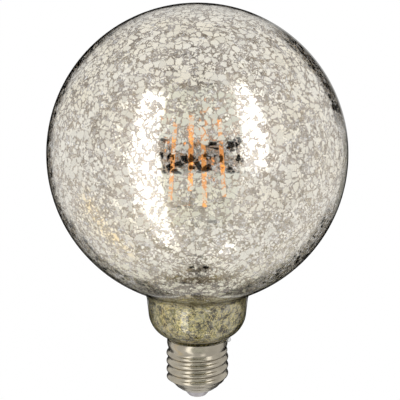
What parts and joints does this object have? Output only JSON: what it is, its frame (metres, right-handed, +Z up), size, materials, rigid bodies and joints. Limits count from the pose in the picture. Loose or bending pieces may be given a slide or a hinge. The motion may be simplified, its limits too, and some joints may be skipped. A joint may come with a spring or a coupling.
{
  "type": "led globe bulb",
  "caption": "Large decorative light bulb: round glass globe with a speckled silver mirror coat, filament strips inside, and a standard screw cap.",
  "frame": {"origin": "centre of the contact's flat tip, the lowest point of the bulb when it stands cap down", "axes": "+Z up the bulb's axis from the cap to the top of the globe; -Y faces the picture's camera, +X to its right"},
  "size_m": [0.125, 0.125, 0.1695],
  "materials": {
    "coated_glass": "clear blown glass with a speckled silver mirror coat on its inside",
    "clear_glass": "clear fire-polished glass",
    "copper_clad": "copper-clad wire, reddish where the glass wets it",
    "nickel_wire": "drawn nickel-plated wire",
    "carrier": "sintered chip carrier, matt white",
    "phosphor": "orange phosphor silicone, satin",
    "tab_steel": "plated steel strip, satin",
    "tinned_wire": "tinned copper wire",
    "cement": "baked basing cement, chalky",
    "nickel_shell": "nickel-plated sheet, rolled, bright satin",
    "insulator_glass": "pale grey-lilac pressed glass, slightly milky",
    "contact_brass": "nickel-plated brass",
    "solder": "dull grey tin solder",
    "board_laminate": "green solder mask on glass-fibre laminate",
    "chip_black": "moulded black epoxy",
    "resistor_black": "black glazed ceramic",
    "can_sleeve": "dark shrink sleeve over a drawn can",
    "fuse_coat": "pale green baked lacquer"
  },
  "bodies": {
    "root": {"glass_globe": "coated_glass", "glass_neck": "coated_glass", "neck_tube": "coated_glass", "glass_stem": "clear_glass", "seal_wires": "copper_clad", "inner_lead_left": "nickel_wire", "inner_lead_right": "nickel_wire", "branch_wire_left": "nickel_wire", "branch_wire_right": "nickel_wire", "upper_link_left": "nickel_wire", "upper_link_right": "nickel_wire", "filament_strip_1": "carrier", "filament_strip_2": "carrier", "filament_strip_3": "carrier", "filament_strip_4": "carrier", "filament_coat_1": "phosphor", "filament_coat_2": "phosphor", "filament_coat_3": "phosphor", "filament_coat_4": "phosphor", "filament_tabs_1": "tab_steel", "filament_tabs_2": "tab_steel", "filament_tabs_3": "tab_steel", "filament_tabs_4": "tab_steel", "outer_lead_left": "tinned_wire", "outer_lead_right": "tinned_wire", "neutral_wire": "tinned_wire", "live_wire": "tinned_wire", "cement_ring": "cement", "screw_shell": "nickel_shell", "cap_insulator": "insulator_glass", "centre_contact": "contact_brass", "side_solder": "solder", "driver_board": "board_laminate", "bridge_rectifier": "chip_black", "driver_chip": "chip_black", "chip_resistors": "resistor_black", "storage_capacitor": "can_sleeve", "fuse_resistor": "fuse_coat"}
  },
  "joints": []
}
